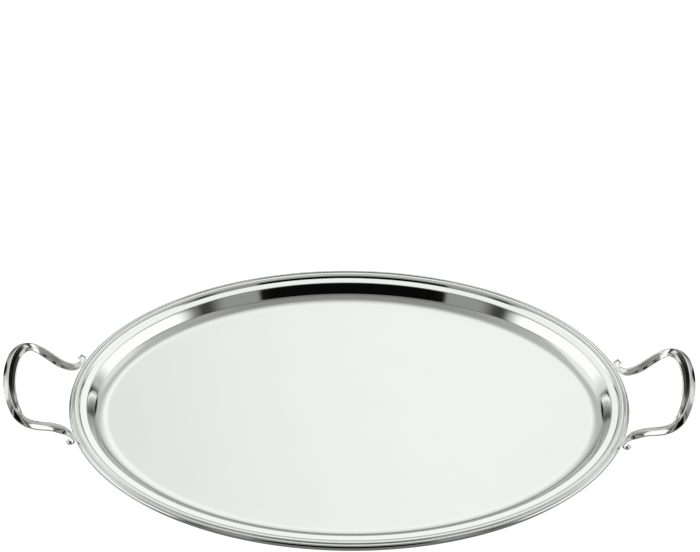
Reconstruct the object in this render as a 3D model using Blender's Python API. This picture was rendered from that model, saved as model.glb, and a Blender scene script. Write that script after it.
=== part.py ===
"""Oval serving tray with two bow handles, modelled in metres with +Z up.

The long axis runs along X and the tray stands on its flat underside at z = 0,
centred on the origin. Widths measured inwards from the rim's outer edge are
called insets.
"""
from math import cos, hypot, pi, radians, sin

import bmesh
import bpy
from mathutils import Quaternion, Vector

MM = 0.001

# Outline of the rim, an ellipse.
TRAY_LENGTH = 601 * MM
TRAY_WIDTH = 420 * MM
RIM_SIDES = 72

# Drawn sheet, from the flat well out to the flange.
SHEET = 1.2 * MM
WELL_INSET = 41.7 * MM
COVE_RADIUS = 26 * MM
COVE_ANGLE = radians(34)
FILLET_RADIUS = 2 * MM
WALL_ANGLE = radians(52.5)
WALL_RUN = 11.4 * MM
SHOULDER_RADIUS = 1.6 * MM
FLANGE_SLOPE = radians(6)
FLANGE_EDGE_INSET = 5.1 * MM

# Clearance between soldered or wrapped pieces.
GAP = 0.3 * MM

# Half-round bead round the outer edge.
BEAD_WIDTH = 4.8 * MM
BEAD_TOP = 19.2 * MM
BEAD_ROUND_RUN = 3.7 * MM
BEAD_ROUND_DROP = 4.5 * MM
BEAD_INNER_CHAMFER = 1.1 * MM
BEAD_BOTTOM = 14.3 * MM

# Reeded band that lies on the flange inside the bead: a rounded crown with a steep
# inner side, as inset from the band's outer edge and drop below its crown.
BAND_OUTER = 5.3 * MM
BAND_CROWN = 19.5 * MM
BAND_FACE = (
    (0.0, 1.0),
    (0.5, 0.42),
    (1.4, 0.07),
    (2.6, 0.06),
    (3.9, 0.46),
    (5.8, 1.12),
    (7.0, 2.85),
    (7.2, 3.05),
)

# Handle stations from the rim to the middle of the bow: distance past the tray's end,
# half spread, height over the bead, half width, half height (mm) and the section's
# lean away from the grip opening (degrees).
HANDLE_STATIONS = (
    (-8.8, 57.6, -1.7, 2.2, 2.2, 11),
    (-6.0, 53.2, -1.9, 3.4, 2.4, 11),
    (-2.8, 49.6, -1.7, 4.7, 2.7, 12),
    (2.5, 47.3, -0.1, 5.9, 3.2, 16),
    (13.5, 47.6, 4.7, 5.9, 3.4, 22),
    (25.5, 52.6, 10.9, 6.0, 3.5, 26),
    (36.3, 55.4, 17.8, 6.1, 3.5, 21),
    (46.0, 52.2, 25.4, 6.3, 3.5, 10),
    (52.8, 41.0, 33.2, 6.4, 3.4, 4),
    (57.4, 23.5, 38.2, 6.7, 3.4, 3),
    (59.2, 0.0, 39.8, 7.0, 3.4, 3),
)

# Scroll at each foot, seen from above (mm and degrees).
SCROLL_OUT = -7.2
SCROLL_SPREAD = 63.0
SCROLL_HEIGHT = -1.4
SCROLL_START = 212
SCROLL_TURN = 262
SCROLL_STEPS = 6
SCROLL_RADII = (3.9, 1.6)
SCROLL_TIGHTENING = 0.6
SCROLL_HALF_WIDTH = 1.5
SCROLL_HALF_HEIGHT = 2.0
SCROLL_BALL = 1.8

# Cross-section of the handle: a ridged crown over a rounded underside,
# across and up as fractions of the half width and the half height.
HANDLE_SECTION = (
    (-0.98, -0.92),
    (-0.88, -1.0),
    (0.5, -0.95),
    (0.95, -0.5),
    (0.98, 0.3),
    (0.72, 0.7),
    (0.14, 1.0),
    (-0.38, 0.08),
    (-0.76, -0.8),
)
STEPS_PER_STATION = 3


def clear_scene():
    for item in list(bpy.data.objects):
        bpy.data.objects.remove(item, do_unlink=True)


def metal(name, colour, roughness):
    material = bpy.data.materials.new(name)
    material.use_nodes = True
    shader = material.node_tree.nodes["Principled BSDF"]
    shader.inputs["Base Color"].default_value = (*colour, 1.0)
    shader.inputs["Roughness"].default_value = roughness
    shader.inputs["Metallic"].default_value = 1.0
    return material


def add_object(name, mesh_data, material, crease_angle):
    """Turn a bmesh into a named object with one material and soft shading."""
    bmesh.ops.recalc_face_normals(mesh_data, faces=mesh_data.faces)
    mesh = bpy.data.meshes.new(name)
    mesh_data.to_mesh(mesh)
    mesh_data.free()
    mesh.materials.append(material)
    mesh.shade_smooth()
    mesh.set_sharp_from_angle(angle=crease_angle)
    item = bpy.data.objects.new(name, mesh)
    bpy.context.scene.collection.objects.link(item)
    return item


def oval_ring(mesh_data, inset, height):
    """A ring of vertices a constant distance inside the rim's ellipse."""
    half_length = TRAY_LENGTH / 2
    half_width = TRAY_WIDTH / 2
    ring = []
    for side in range(RIM_SIDES):
        angle = 2 * pi * side / RIM_SIDES
        across = cos(angle) / half_length
        along = sin(angle) / half_width
        length = hypot(across, along)
        x = half_length * cos(angle) - inset * across / length
        y = half_width * sin(angle) - inset * along / length
        ring.append(mesh_data.verts.new((x, y, height)))
    return ring


def join_rings(mesh_data, rings):
    for lower, upper in zip(rings, rings[1:]):
        for side in range(len(lower)):
            following = (side + 1) % len(lower)
            mesh_data.faces.new((lower[side], lower[following], upper[following], upper[side]))


def bend(points, heading, new_heading, radius, steps):
    """Add an arc to an (inset, height) path that travels outwards and up."""
    inset, height = points[-1]
    turn = 1 if new_heading > heading else -1
    for step in range(1, steps + 1):
        angle = heading + (new_heading - heading) * step / steps
        run = radius * turn * (sin(angle) - sin(heading))
        rise = radius * turn * (cos(heading) - cos(angle))
        points.append((inset - run, height + rise))


def sheet_face(thickness_below):
    """One face of the drawn sheet, from the well out to the flange's edge."""
    points = [(WELL_INSET, SHEET - thickness_below)]
    bend(points, 0, COVE_ANGLE, COVE_RADIUS + thickness_below, 5)
    bend(points, COVE_ANGLE, WALL_ANGLE, FILLET_RADIUS + thickness_below, 2)
    inset, height = points[-1]
    points.append((inset - WALL_RUN * cos(WALL_ANGLE), height + WALL_RUN * sin(WALL_ANGLE)))
    bend(points, WALL_ANGLE, FLANGE_SLOPE, SHOULDER_RADIUS - thickness_below, 3)
    inset, height = points[-1]
    run = inset - FLANGE_EDGE_INSET
    points.append((FLANGE_EDGE_INSET, height + run * sin(FLANGE_SLOPE) / cos(FLANGE_SLOPE)))
    return points


def make_tray_body(material):
    upper = sheet_face(0)
    lower = sheet_face(SHEET)
    mesh_data = bmesh.new()
    rings = [oval_ring(mesh_data, *point) for point in upper + lower[::-1]]
    join_rings(mesh_data, rings)
    mesh_data.faces.new(rings[0])
    mesh_data.faces.new(rings[-1])
    return add_object("tray_body", mesh_data, material, radians(30))


def make_moulding(name, outline, material):
    """A closed band that follows the rim, from an (inset, height) outline."""
    mesh_data = bmesh.new()
    rings = [oval_ring(mesh_data, *point) for point in outline]
    join_rings(mesh_data, rings + rings[:1])
    return add_object(name, mesh_data, material, radians(35))


def bead_outline():
    chamfer_foot = BEAD_TOP - BEAD_INNER_CHAMFER
    outline = [(BEAD_WIDTH, BEAD_BOTTOM), (BEAD_WIDTH, chamfer_foot)]
    for step in range(6):
        angle = pi / 2 * step / 5
        inset = BEAD_ROUND_RUN * (1 - sin(angle))
        outline.append((inset, BEAD_TOP - BEAD_ROUND_DROP * (1 - cos(angle))))
    outline.append((GAP, BEAD_BOTTOM))
    return outline


def band_outline():
    outer_base = sheet_face(0)[-1][1] + GAP
    width = BAND_FACE[-1][0] * MM
    inner_base = outer_base - width * sin(FLANGE_SLOPE) / cos(FLANGE_SLOPE)
    outline = [(BAND_OUTER + width, inner_base), (BAND_OUTER, outer_base)]
    for inset, drop in BAND_FACE:
        outline.append((BAND_OUTER + inset * MM, BAND_CROWN - drop * MM))
    return outline


def scroll_stations():
    """The curled foot, from the ball at its middle out to the rim."""
    stations = []
    outer, inner = SCROLL_RADII
    lean = HANDLE_STATIONS[0][-1]
    for step in range(SCROLL_STEPS + 1):
        share = step / SCROLL_STEPS
        angle = radians(SCROLL_START - SCROLL_TURN * (1 - share))
        radius = inner + (outer - inner) * share ** SCROLL_TIGHTENING
        out = SCROLL_OUT + radius * cos(angle)
        spread = SCROLL_SPREAD + radius * sin(angle)
        half_width = SCROLL_BALL if step == 0 else SCROLL_HALF_WIDTH
        stations.append((out, spread, SCROLL_HEIGHT, half_width, SCROLL_HALF_HEIGHT, lean))
    return stations


def smooth_between(before, start, end, after, share):
    """Catmull-Rom interpolation of station tuples."""
    result = []
    for a, b, c, d in zip(before, start, end, after):
        slope = (c - a) * share
        square = (2 * a - 5 * b + 4 * c - d) * share ** 2
        cube = (3 * b - a - 3 * c + d) * share ** 3
        result.append(b + (slope + square + cube) / 2)
    return result


def handle_stations():
    half = scroll_stations() + list(HANDLE_STATIONS)
    other_half = [(out, -spread, *rest) for out, spread, *rest in half[-2::-1]]
    stations = half + other_half
    fine = []
    for index in range(len(stations) - 1):
        before = stations[max(index - 1, 0)]
        after = stations[min(index + 2, len(stations) - 1)]
        for step in range(STEPS_PER_STATION):
            share = step / STEPS_PER_STATION
            fine.append(smooth_between(before, stations[index], stations[index + 1], after, share))
    fine.append(stations[-1])
    return fine


def make_handle(name, end, material):
    """Sweep the ridged section along the bow at one end of the tray (1 or -1)."""
    stations = handle_stations()
    centres = []
    for out, spread, rise, *_ in stations:
        x = end * (TRAY_LENGTH / 2 + out * MM)
        centres.append(Vector((x, spread * MM, BEAD_TOP + rise * MM)))
    mesh_data = bmesh.new()
    rings = []
    last = len(centres) - 1
    for index, centre in enumerate(centres):
        half_width, half_height, lean = stations[index][3:]
        tangent = (centres[min(index + 1, last)] - centres[max(index - 1, 0)]).normalized()
        outward = Vector((0, 0, end)).cross(tangent).normalized()
        turned = Quaternion(tangent, -end * radians(lean))
        outward.rotate(turned)
        up = outward.cross(tangent) * -end
        ring = []
        for side, lift in HANDLE_SECTION:
            point = centre + (outward * side * half_width + up * lift * half_height) * MM
            ring.append(mesh_data.verts.new(point))
        rings.append(ring)
    join_rings(mesh_data, rings)
    mesh_data.faces.new(rings[0])
    mesh_data.faces.new(rings[-1])
    return add_object(name, mesh_data, material, radians(50))


def build_tray():
    clear_scene()
    polished = metal("polished_silver", (0.88, 0.88, 0.86), 0.06)
    satin = metal("satin_silver", (0.86, 0.86, 0.84), 0.28)
    make_tray_body(satin)
    make_moulding("edge_bead", bead_outline(), polished)
    make_moulding("rim_band", band_outline(), polished)
    make_handle("handle_left", -1, polished)
    make_handle("handle_right", 1, polished)


build_tray()
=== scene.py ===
"""Looks of an oval silver serving tray with two bow handles, built round its CAD frame.

The tray's sheet, its reeded band, its edge bead and its two handles are fine meshes that
stand for the five CAD nodes. Widths measured inwards from the rim's outer edge are
called insets. The surroundings are a light tent painted on the world.
"""
from math import cos, hypot, pi, radians, sin, tan

import bpy
from mathutils import Matrix, Quaternion, Vector


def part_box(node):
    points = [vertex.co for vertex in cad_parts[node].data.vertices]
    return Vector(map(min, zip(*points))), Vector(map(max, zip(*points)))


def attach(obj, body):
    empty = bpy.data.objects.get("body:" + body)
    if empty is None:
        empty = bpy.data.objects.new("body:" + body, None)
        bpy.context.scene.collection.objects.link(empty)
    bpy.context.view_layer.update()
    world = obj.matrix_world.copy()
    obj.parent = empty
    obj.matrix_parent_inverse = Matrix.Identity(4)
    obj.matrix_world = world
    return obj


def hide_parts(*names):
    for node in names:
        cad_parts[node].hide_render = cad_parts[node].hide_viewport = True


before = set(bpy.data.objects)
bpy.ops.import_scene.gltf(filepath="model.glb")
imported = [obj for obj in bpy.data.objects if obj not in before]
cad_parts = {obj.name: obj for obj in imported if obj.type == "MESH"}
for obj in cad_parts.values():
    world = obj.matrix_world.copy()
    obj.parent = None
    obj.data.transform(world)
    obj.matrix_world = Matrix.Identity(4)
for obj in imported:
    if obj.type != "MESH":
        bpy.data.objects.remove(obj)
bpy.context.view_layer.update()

MM = 0.001
SIDES = 480  # points round each oval ring

# Sizes read from the frame.
BODY_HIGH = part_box("tray_body")[1]
BEAD_LOW, BEAD_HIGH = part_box("edge_bead")
BAND_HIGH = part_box("rim_band")[1]
HALF_LENGTH = BEAD_HIGH.x
HALF_WIDTH = BEAD_HIGH.y
BEAD_TOP = BEAD_HIGH.z
BEAD_BOTTOM = BEAD_LOW.z
FLANGE_EDGE = HALF_LENGTH - BODY_HIGH.x

# Drawn sheet, the same section as the CAD body.
SHEET = 1.2 * MM
WELL_INSET = 41.7 * MM
COVE_RADIUS = 26 * MM
COVE_ANGLE = radians(34)
FILLET_RADIUS = 2 * MM
WALL_ANGLE = radians(52.5)
WALL_RUN = 11.4 * MM
SHOULDER_RADIUS = 1.6 * MM
FLANGE_SLOPE = radians(6)
WELL_RINGS = (0.2, 0.4, 0.6, 0.8, 0.92)
COVE_STEPS = 24
SMALL_BEND_STEPS = 10
WALL_SHARES = (0.25, 0.5, 0.75, 1.0)
FLANGE_SHARES = (0.3, 0.6, 0.9, 1.0)
SATIN_FADE = 6 * MM  # width over which the satin well turns into the polished cove

# Half-round wire: a small round at its inner edge and a wide one at its outer edge.
BEAD_GAP = 0.3 * MM
BEAD_INNER_RUN = 1.1 * MM
BEAD_INNER_DROP = 1.6 * MM
BEAD_INNER_STEPS = 6
BEAD_OUTER_RUN = 3.7 * MM
BEAD_OUTER_DROP = 4.5 * MM
BEAD_OUTER_STEPS = 16
BEAD_LOWER_CHAMFER = 0.3 * MM

# Reeded band on the flange.
BAND_GAP = 0.2 * MM
BAND_WIDTH = 7.2 * MM
BAND_OUTER_LIFT = 0.3 * MM
BAND_INNER_DROP = 0.7 * MM

# Face of the reeded band: inset from its outer edge and drop below its crown (mm).
BAND_FACE = (
    (0.0, 1.0),
    (0.15, 0.7),
    (0.5, 0.42),
    (0.9, 0.22),
    (1.4, 0.07),
    (2.0, 0.0),
    (2.6, 0.06),
    (3.2, 0.19),
    (3.7, 0.36),
    (3.85, 0.46),
    (3.95, 0.46),
    (4.5, 0.62),
    (5.2, 0.86),
    (5.75, 1.08),
    (5.9, 1.22),
    (7.0, 2.85),
    (7.15, 3.05),
)

# Curled foot of a handle (mm and degrees): its middle from the tray's end, its curl and its sizes.
SCROLL_OUT = -7.2
SCROLL_SPREAD = 63.0
SCROLL_HEIGHT = -1.4
SCROLL_START = 212
SCROLL_TURN = 262
SCROLL_STEPS = 6
SCROLL_RADII = (3.9, 1.6)
SCROLL_TIGHTENING = 0.6
SCROLL_HALF_WIDTH = 1.5
SCROLL_HALF_HEIGHT = 2.0
SCROLL_BALL = 1.8

# Handle stations from the rim to the middle of the bow, as in the CAD model: distance past
# the tray's end, half spread, height over the bead, half width, half height (mm), lean (degrees).
HANDLE_STATIONS = (
    (-8.8, 57.6, -1.7, 2.2, 2.2, 11),
    (-6.0, 53.2, -1.9, 3.4, 2.4, 11),
    (-2.8, 49.6, -1.7, 4.7, 2.7, 12),
    (2.5, 47.3, -0.1, 5.9, 3.2, 16),
    (13.5, 47.6, 4.7, 5.9, 3.4, 22),
    (25.5, 52.6, 10.9, 6.0, 3.5, 26),
    (36.3, 55.4, 17.8, 6.1, 3.5, 21),
    (46.0, 52.2, 25.4, 6.3, 3.5, 10),
    (52.8, 41.0, 33.2, 6.4, 3.4, 4),
    (57.4, 23.5, 38.2, 6.7, 3.4, 3),
    (59.2, 0.0, 39.8, 7.0, 3.4, 3),
)
STEPS_PER_STATION = 10
RELAX_PASSES = 14

# Section of the handle, inner edge to outer edge and back, as fractions of the half sizes.
HANDLE_SECTION = (
    (-0.98, -0.92),
    (-0.88, -1.00),
    (-0.30, -1.00),
    (0.40, -0.96),
    (0.78, -0.78),
    (0.95, -0.50),
    (1.00, -0.10),
    (1.00, 0.12),
    (0.985, 0.40),
    (0.94, 0.505),
    (0.90, 0.54),
    (0.72, 0.70),
    (0.48, 0.86),
    (0.24, 0.98),
    (0.14, 1.00),
    (0.06, 0.92),
    (-0.34, 0.14),
    (-0.42, 0.00),
    (-0.76, -0.80),
    (-0.93, -0.86),
)
SECTION_STEPS = 3
RIDGE_ANGLE = radians(40)

# Silver: two close tones in soft clouds, and roughness ranges for the mirror and the satin.
CLOUD_SCALE = 18
CLOUD_DETAIL = 6
CLOUD_DARK = (0.925, 0.945, 0.895, 1)
CLOUD_LIGHT = (0.95, 0.965, 0.925, 1)
SCRATCH_SCALE = 900
SCRATCH_DETAIL = 3
SCRATCH_SPREAD = (0.3, 0.7)
MIRROR_ROUGHNESS = (0.03, 0.07)
SATIN_ROUGHNESS = (0.16, 0.24)

# Light tent, in degrees: azimuth 0 is behind the tray and 90 to its right, zenith 0 is
# overhead. Each panel is a rounded rectangle: azimuth, zenith, half width, half height,
# softness as a share of the half sizes, squareness, brightness. Later ones cover earlier ones.
TENT_BASE = 0.27
TENT_PANELS = (
    ("table", 0, 140, 400, 46, 0.04, 8, 0.50),
    ("table_front", 180, 140, 62, 46, 0.10, 6, 0.30),
    ("sweep", 0, 46, 125, 28, 0.45, 4, 0.50),
    ("back", 4, 48, 16, 25, 0.85, 3, 0.97),
    ("low_back", 0, 91, 38, 9, 0.50, 3, 0.15),
    ("hood", 180, 72, 62, 58, 0.18, 4, 0.16),
    ("window_left", -70, 46, 26, 12, 0.30, 4, 0.85),
    ("window_right", 64, 44, 19, 12, 0.40, 3, 0.75),
    ("shade_left", -110, 46, 15, 15, 0.50, 3, 0.28),
    ("shade_right", 106, 46, 17, 16, 0.50, 3, 0.28),
    ("side_right", 90, 77, 34, 12, 0.30, 4, 1.05),
    ("side_left", -88, 77, 36, 12, 0.30, 4, 1.05),
    ("flank_right", 107, 74, 24, 14, 0.15, 6, 1.05),
    ("flank_left", -106.5, 74, 24, 14, 0.15, 6, 1.05),
    ("gap_right", 42, 73, 6.5, 12, 0.25, 3, 0.008),
    ("gap_left", -42, 73, 6.5, 12, 0.25, 3, 0.008),
    ("low_fade_right", 61, 86, 13, 7, 0.70, 3, 0.50),
    ("low_fade_left", -58, 86, 12, 7, 0.70, 3, 0.70),
    ("low_gap_right", 50, 86, 8.5, 7, 0.40, 3, 0.05),
    ("low_gap_left", -50, 86, 8.5, 7, 0.40, 3, 0.05),
    ("ledge_right", 41, 89, 5, 3, 0.3, 3, 0.7),
    ("ledge_left", -41, 89, 5, 3, 0.3, 3, 0.7),
    ("front_rim", 181, 52, 47, 29, 0.03, 4, 0.05),
    ("front_frame", 181, 52, 40.5, 28, 0.09, 4, 0.29),
    ("front_opening", 181, 50, 26.5, 24.5, 0.03, 3.5, 0.003),
)

# White table top.
FLOOR_REACH = 12
FLOOR_DROP = 0.2 * MM
FLOOR_COLOUR = (0.9, 0.9, 0.9, 1)
FLOOR_ROUGHNESS = 0.8
FLOOR_GLOW = 0.93

# Camera: place in metres, lens and sensor in mm, and its dip, yaw and roll in degrees.
CAMERA_PLACE = (0.01489, -1.74368, 1.76860)
CAMERA_LENS = 118.3
CAMERA_SENSOR = 36
CAMERA_FAR = 50
CAMERA_ANGLES = (42.015, -0.47, 0.178)


def new_object(name, points, faces, material):
    """A smooth mesh object in the scene, with one material."""
    mesh = bpy.data.meshes.new(name)
    mesh.from_pydata(points, [], faces)
    mesh.materials.append(material)
    mesh.shade_smooth()
    mesh.update()
    item = bpy.data.objects.new(name, mesh)
    bpy.context.scene.collection.objects.link(item)
    return item


def oval_ring(inset, height, scale=1.0):
    """Points a constant distance inside the rim's ellipse, or that ring shrunk about its centre."""
    ring = []
    for side in range(SIDES):
        angle = 2 * pi * side / SIDES
        across = cos(angle) / HALF_LENGTH
        along = sin(angle) / HALF_WIDTH
        length = hypot(across, along)
        x = HALF_LENGTH * cos(angle) - inset * across / length
        y = HALF_WIDTH * sin(angle) - inset * along / length
        ring.append((x * scale, y * scale, height))
    return ring


def ring_faces(first, second, count):
    """Quads between two rings of count points that start at these indices."""
    faces = []
    for side in range(count):
        following = (side + 1) % count
        faces.append((first + side, first + following, second + following, second + side))
    return faces


def bend(points, heading, new_heading, radius, steps):
    """Add an arc to an (inset, height) path that travels outwards and up."""
    inset, height = points[-1]
    turn = 1 if new_heading > heading else -1
    for step in range(1, steps + 1):
        angle = heading + (new_heading - heading) * step / steps
        run = radius * turn * (sin(angle) - sin(heading))
        rise = radius * turn * (cos(heading) - cos(angle))
        points.append((inset - run, height + rise))


def sheet_face(depth):
    """One face of the drawn sheet, this deep in the metal, from the well to the flange's edge."""
    points = [(WELL_INSET, SHEET - depth)]
    bend(points, 0, COVE_ANGLE, COVE_RADIUS + depth, COVE_STEPS)
    bend(points, COVE_ANGLE, WALL_ANGLE, FILLET_RADIUS + depth, SMALL_BEND_STEPS)
    inset, height = points[-1]
    for share in WALL_SHARES:
        run = WALL_RUN * share
        points.append((inset - run * cos(WALL_ANGLE), height + run * sin(WALL_ANGLE)))
    bend(points, WALL_ANGLE, FLANGE_SLOPE, SHOULDER_RADIUS - depth, SMALL_BEND_STEPS)
    inset, height = points[-1]
    run = inset - FLANGE_EDGE
    for share in FLANGE_SHARES:
        points.append((inset - run * share, height + run * share * tan(FLANGE_SLOPE)))
    return points


def make_sheet(material):
    """The well, cove, wall and flange, closed underneath, with a satin share on each vertex."""
    rings = [(WELL_INSET, SHEET, scale, 1.0) for scale in WELL_RINGS]
    for inset, height in sheet_face(0):
        satin = max(0.0, min(1.0, 1 - (WELL_INSET - inset) / SATIN_FADE))
        rings.append((inset, height, 1.0, satin))
    rings += [(inset, height, 1.0, 0.0) for inset, height in sheet_face(SHEET)[::-1]]
    rings += [(WELL_INSET, 0.0, scale, 0.0) for scale in WELL_RINGS[::-1]]
    points = []
    satins = []
    for inset, height, scale, satin in rings:
        points += oval_ring(inset, height, scale)
        satins += [satin] * SIDES
    faces = []
    for index in range(len(rings) - 1):
        faces += ring_faces(index * SIDES, (index + 1) * SIDES, SIDES)
    top, bottom = len(points), len(points) + 1
    points += [(0, 0, SHEET), (0, 0, 0)]
    satins += [1.0, 0.0]
    last = (len(rings) - 1) * SIDES
    for side in range(SIDES):
        following = (side + 1) % SIDES
        faces.append((top, following, side))
        faces.append((bottom, last + side, last + following))
    item = new_object("tray_sheet", points, [face[::-1] for face in faces], material)
    layer = item.data.attributes.new("satin", "FLOAT", "POINT")
    layer.data.foreach_set("value", satins)
    return item


def make_moulding(name, outline, material):
    """A closed band that follows the rim, from a closed (inset, height) outline."""
    points = []
    for inset, height in outline:
        points += oval_ring(inset, height)
    faces = []
    for index in range(len(outline)):
        following = (index + 1) % len(outline)
        faces += ring_faces(index * SIDES, following * SIDES, SIDES)
    return new_object(name, points, faces, material)


def bead_outline():
    """Half-round wire: flat back inside, round face up and out."""
    width = FLANGE_EDGE - BEAD_GAP
    shoulder = BEAD_TOP - BEAD_INNER_DROP
    outline = [(width, BEAD_BOTTOM), (width, shoulder)]
    for step in range(BEAD_INNER_STEPS + 1):
        angle = pi / 2 * step / BEAD_INNER_STEPS
        inset = width - BEAD_INNER_RUN * (1 - cos(angle))
        outline.append((inset, shoulder + BEAD_INNER_DROP * sin(angle)))
    for step in range(1, BEAD_OUTER_STEPS + 1):
        angle = pi / 2 * step / BEAD_OUTER_STEPS
        inset = BEAD_OUTER_RUN * (1 - sin(angle))
        outline.append((inset, BEAD_TOP - BEAD_OUTER_DROP * (1 - cos(angle))))
    outline.append((0.0, BEAD_BOTTOM + BEAD_LOWER_CHAMFER))
    outline.append((BEAD_LOWER_CHAMFER, BEAD_BOTTOM))
    return outline


def band_outline():
    """Reeded moulding: a gentle crown with a fine crease in it and a steep inner side."""
    outer = FLANGE_EDGE + BAND_GAP
    inner = outer + BAND_WIDTH
    crown = BAND_HIGH.z
    flange = BODY_HIGH.z
    outline = [(inner, flange - BAND_INNER_DROP), (outer, flange + BAND_OUTER_LIFT)]
    for inset, drop in BAND_FACE:
        outline.append((outer + inset * MM, crown - drop * MM))
    return outline


def scroll_stations():
    """The curled foot, from the ball at its middle out to the rim."""
    stations = []
    outer, inner = SCROLL_RADII
    lean = HANDLE_STATIONS[0][-1]
    for step in range(SCROLL_STEPS + 1):
        share = step / SCROLL_STEPS
        angle = radians(SCROLL_START - SCROLL_TURN * (1 - share))
        radius = inner + (outer - inner) * share ** SCROLL_TIGHTENING
        out = SCROLL_OUT + radius * cos(angle)
        spread = SCROLL_SPREAD + radius * sin(angle)
        half_width = SCROLL_BALL if step == 0 else SCROLL_HALF_WIDTH
        stations.append((out, spread, SCROLL_HEIGHT, half_width, SCROLL_HALF_HEIGHT, lean))
    return stations


def smooth_between(before, start, end, after, share):
    """Catmull-Rom interpolation of station tuples."""
    result = []
    for a, b, c, d in zip(before, start, end, after):
        slope = (c - a) * share
        square = (2 * a - 5 * b + 4 * c - d) * share ** 2
        cube = (3 * b - a - 3 * c + d) * share ** 3
        result.append(b + (slope + square + cube) / 2)
    return result


def relaxed(stations):
    """Average each station with its neighbours, which evens out the curve."""
    inner = []
    for before, here, after in zip(stations, stations[1:], stations[2:]):
        inner.append([(a + 2 * b + c) / 4 for a, b, c in zip(before, here, after)])
    return [stations[0]] + inner + [stations[-1]]


def handle_stations():
    """Fine, evened-out stations of a whole handle, from one scroll's ball to the other."""
    half = scroll_stations() + list(HANDLE_STATIONS)
    other_half = [(out, -spread, *rest) for out, spread, *rest in half[-2::-1]]
    stations = half + other_half
    fine = []
    for index in range(len(stations) - 1):
        before = stations[max(index - 1, 0)]
        after = stations[min(index + 2, len(stations) - 1)]
        for step in range(STEPS_PER_STATION):
            share = step / STEPS_PER_STATION
            fine.append(smooth_between(before, stations[index], stations[index + 1], after, share))
    fine.append(stations[-1])
    for _ in range(RELAX_PASSES):
        fine = relaxed(fine)
    return fine


def fine_section():
    """The handle's section with its facets split, so that only the ridge stays crisp."""
    fine = []
    for index, start in enumerate(HANDLE_SECTION):
        end = HANDLE_SECTION[(index + 1) % len(HANDLE_SECTION)]
        for step in range(SECTION_STEPS):
            share = step / SECTION_STEPS
            side = start[0] + (end[0] - start[0]) * share
            lift = start[1] + (end[1] - start[1]) * share
            fine.append((side, lift))
    return fine


def make_handle(name, end, material):
    """Sweep the ridged section along the bow at one end of the tray (1 or -1)."""
    stations = handle_stations()
    section = fine_section()
    centres = []
    for out, spread, rise, *_ in stations:
        x = end * (HALF_LENGTH + out * MM)
        centres.append(Vector((x, spread * MM, BEAD_TOP + rise * MM)))
    points = []
    last = len(centres) - 1
    for index, centre in enumerate(centres):
        half_width, half_height, lean = stations[index][3:]
        tangent = (centres[min(index + 1, last)] - centres[max(index - 1, 0)]).normalized()
        outward = Vector((0, 0, end)).cross(tangent).normalized()
        outward.rotate(Quaternion(tangent, -end * radians(lean)))
        up = outward.cross(tangent) * -end
        for side, lift in section:
            points.append(centre + (outward * side * half_width + up * lift * half_height) * MM)
    count = len(section)
    faces = []
    for index in range(last):
        faces += ring_faces(index * count, (index + 1) * count, count)
    faces.append(tuple(range(count))[::-1])
    faces.append(tuple(last * count + side for side in range(count)))
    if end < 0:
        faces = [face[::-1] for face in faces]
    item = new_object(name, points, faces, material)
    item.data.set_sharp_from_angle(angle=RIDGE_ANGLE)
    return item


def noise(tree, coordinates, scale, detail):
    """Object-space noise between 0 and 1."""
    node = tree.nodes.new("ShaderNodeTexNoise")
    node.inputs["Scale"].default_value = scale
    node.inputs["Detail"].default_value = detail
    tree.links.new(coordinates, node.inputs["Vector"])
    return node.outputs["Fac"]


def spread_over(tree, value, limits):
    """Scratch noise stretched over a range of roughness."""
    node = tree.nodes.new("ShaderNodeMapRange")
    node.inputs["From Min"].default_value, node.inputs["From Max"].default_value = SCRATCH_SPREAD
    node.inputs["To Min"].default_value, node.inputs["To Max"].default_value = limits
    tree.links.new(value, node.inputs["Value"])
    return node.outputs["Result"]


def silver(name, satin):
    """Silver plate: a mirror with fine buffing marks, or that with a satin well."""
    material = bpy.data.materials.new(name)
    material.use_nodes = True
    tree = material.node_tree
    link = tree.links.new
    shader = tree.nodes["Principled BSDF"]
    shader.inputs["Metallic"].default_value = 1.0
    coordinates = tree.nodes.new("ShaderNodeTexCoord").outputs["Object"]
    colour = tree.nodes.new("ShaderNodeMix")
    colour.data_type = "RGBA"
    colour.inputs["A"].default_value = CLOUD_DARK
    colour.inputs["B"].default_value = CLOUD_LIGHT
    link(noise(tree, coordinates, CLOUD_SCALE, CLOUD_DETAIL), colour.inputs["Factor"])
    link(colour.outputs["Result"], shader.inputs["Base Color"])

    scratches = noise(tree, coordinates, SCRATCH_SCALE, SCRATCH_DETAIL)
    polish = spread_over(tree, scratches, MIRROR_ROUGHNESS)
    if not satin:
        link(polish, shader.inputs["Roughness"])
        return material
    share = tree.nodes.new("ShaderNodeAttribute")
    share.attribute_name = "satin"
    blend = tree.nodes.new("ShaderNodeMix")
    link(share.outputs["Fac"], blend.inputs["Factor"])
    link(polish, blend.inputs["A"])
    link(spread_over(tree, scratches, SATIN_ROUGHNESS), blend.inputs["B"])
    link(blend.outputs["Result"], shader.inputs["Roughness"])
    return material


def math_node(tree, operation, *values):
    """A math node fed with numbers or other nodes' outputs."""
    node = tree.nodes.new("ShaderNodeMath")
    node.operation = operation
    for socket, value in zip(node.inputs, values):
        if isinstance(value, (int, float)):
            socket.default_value = value
        else:
            tree.links.new(value, socket)
    return node.outputs["Value"]


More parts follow.
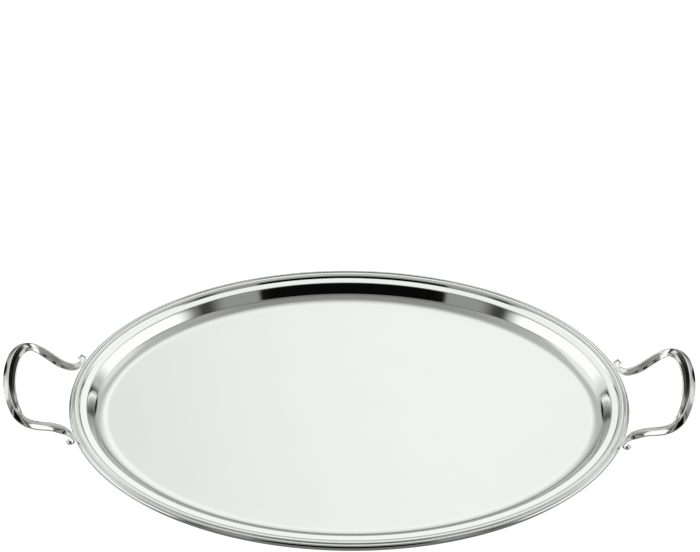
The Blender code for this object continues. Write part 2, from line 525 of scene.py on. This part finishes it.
def panel_mask(tree, turn, zenith, panel):
    """1 inside a panel of the tent and 0 outside it."""
    azimuth, height, half_width, half_height, softness, squareness = panel
    shifted = math_node(tree, "SUBTRACT", turn, azimuth - 180)
    wrapped = math_node(tree, "FLOORED_MODULO", shifted, 360)
    across = math_node(tree, "ABSOLUTE", math_node(tree, "SUBTRACT", wrapped, 180))
    along = math_node(tree, "ABSOLUTE", math_node(tree, "SUBTRACT", zenith, height))
    wide = math_node(tree, "POWER", math_node(tree, "DIVIDE", across, half_width), squareness)
    tall = math_node(tree, "POWER", math_node(tree, "DIVIDE", along, half_height), squareness)
    reach = math_node(tree, "POWER", math_node(tree, "ADD", wide, tall), 1 / squareness)
    edge = tree.nodes.new("ShaderNodeMapRange")
    edge.interpolation_type = "SMOOTHSTEP"
    edge.inputs["From Min"].default_value = 1 - softness
    edge.inputs["From Max"].default_value = 1 + softness
    edge.inputs["To Min"].default_value = 1
    edge.inputs["To Max"].default_value = 0
    tree.links.new(reach, edge.inputs["Value"])
    return edge.outputs["Result"]


def light_tent():
    """Paint the panels on the world for reflections, and leave it plain white to the camera."""
    world = bpy.data.worlds.new("light_tent")
    bpy.context.scene.world = world
    world.use_nodes = True
    tree = world.node_tree
    coordinates = tree.nodes.new("ShaderNodeTexCoord")
    axes = tree.nodes.new("ShaderNodeSeparateXYZ")
    tree.links.new(coordinates.outputs["Generated"], axes.inputs["Vector"])
    bearing = math_node(tree, "ARCTAN2", axes.outputs["X"], axes.outputs["Y"])
    turn = math_node(tree, "DEGREES", bearing)
    zenith = math_node(tree, "DEGREES", math_node(tree, "ARCCOSINE", axes.outputs["Z"]))
    level = None
    for name, *panel, brightness in TENT_PANELS:
        mix = tree.nodes.new("ShaderNodeMix")
        mix.label = name
        mix.inputs["A"].default_value = TENT_BASE
        if level is not None:
            tree.links.new(level, mix.inputs["A"])
        mix.inputs["B"].default_value = brightness
        tree.links.new(panel_mask(tree, turn, zenith, panel), mix.inputs["Factor"])
        level = mix.outputs["Result"]
    path = tree.nodes.new("ShaderNodeLightPath")
    seen = tree.nodes.new("ShaderNodeMix")
    seen.inputs["B"].default_value = 1.0
    tree.links.new(level, seen.inputs["A"])
    tree.links.new(path.outputs["Is Camera Ray"], seen.inputs["Factor"])
    tree.links.new(seen.outputs["Result"], tree.nodes["Background"].inputs["Color"])


def pale_floor():
    """A pale table top that glows a little, so that only a faint contact shadow shows."""
    material = bpy.data.materials.new("pale_floor")
    material.use_nodes = True
    shader = material.node_tree.nodes["Principled BSDF"]
    shader.inputs["Base Color"].default_value = FLOOR_COLOUR
    shader.inputs["Roughness"].default_value = FLOOR_ROUGHNESS
    shader.inputs["Emission Color"].default_value = (1, 1, 1, 1)
    shader.inputs["Emission Strength"].default_value = FLOOR_GLOW
    corners = [(x * FLOOR_REACH, y * FLOOR_REACH, 0) for x, y in ((-1, -1), (1, -1), (1, 1), (-1, 1))]
    floor = new_object("floor", corners, [(0, 1, 2, 3)], material)
    floor.location.z = -FLOOR_DROP
    floor.visible_glossy = False


def place_camera():
    """The camera stands in front of the tray and looks down at it."""
    camera = bpy.data.objects.new("camera", bpy.data.cameras.new("camera"))
    bpy.context.scene.collection.objects.link(camera)
    bpy.context.scene.camera = camera
    camera.data.sensor_width = CAMERA_SENSOR
    camera.data.lens = CAMERA_LENS
    camera.data.clip_end = CAMERA_FAR
    camera.location = CAMERA_PLACE
    dip, yaw, roll = (radians(angle) for angle in CAMERA_ANGLES)
    forward = Vector((sin(yaw) * cos(dip), cos(yaw) * cos(dip), -sin(dip)))
    right = forward.cross(Vector((0, 0, 1))).normalized()
    up = right.cross(forward)
    level = Matrix((right, up, -forward)).transposed()
    camera.rotation_euler = (level @ Matrix.Rotation(roll, 3, "Z")).to_euler()


mirror = silver("mirror_silver", False)
well = silver("satin_well_silver", True)
sheet = make_sheet(well)
bead = make_moulding("bead_wire", bead_outline(), mirror)
band = make_moulding("reeded_band", band_outline(), mirror)
grips = [make_handle("bow_handle_left", -1, mirror), make_handle("bow_handle_right", 1, mirror)]
for piece, node, slot in (
    (sheet, "tray_body", "satin_silver"),
    (bead, "edge_bead", "polished_silver"),
    (band, "rim_band", "polished_silver"),
    (grips[0], "handle_left", "polished_silver"),
    (grips[1], "handle_right", "polished_silver"),
):
    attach(piece, "root")
    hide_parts(node)

light_tent()
pale_floor()
place_camera()
bpy.context.scene.view_settings.view_transform = "Standard"
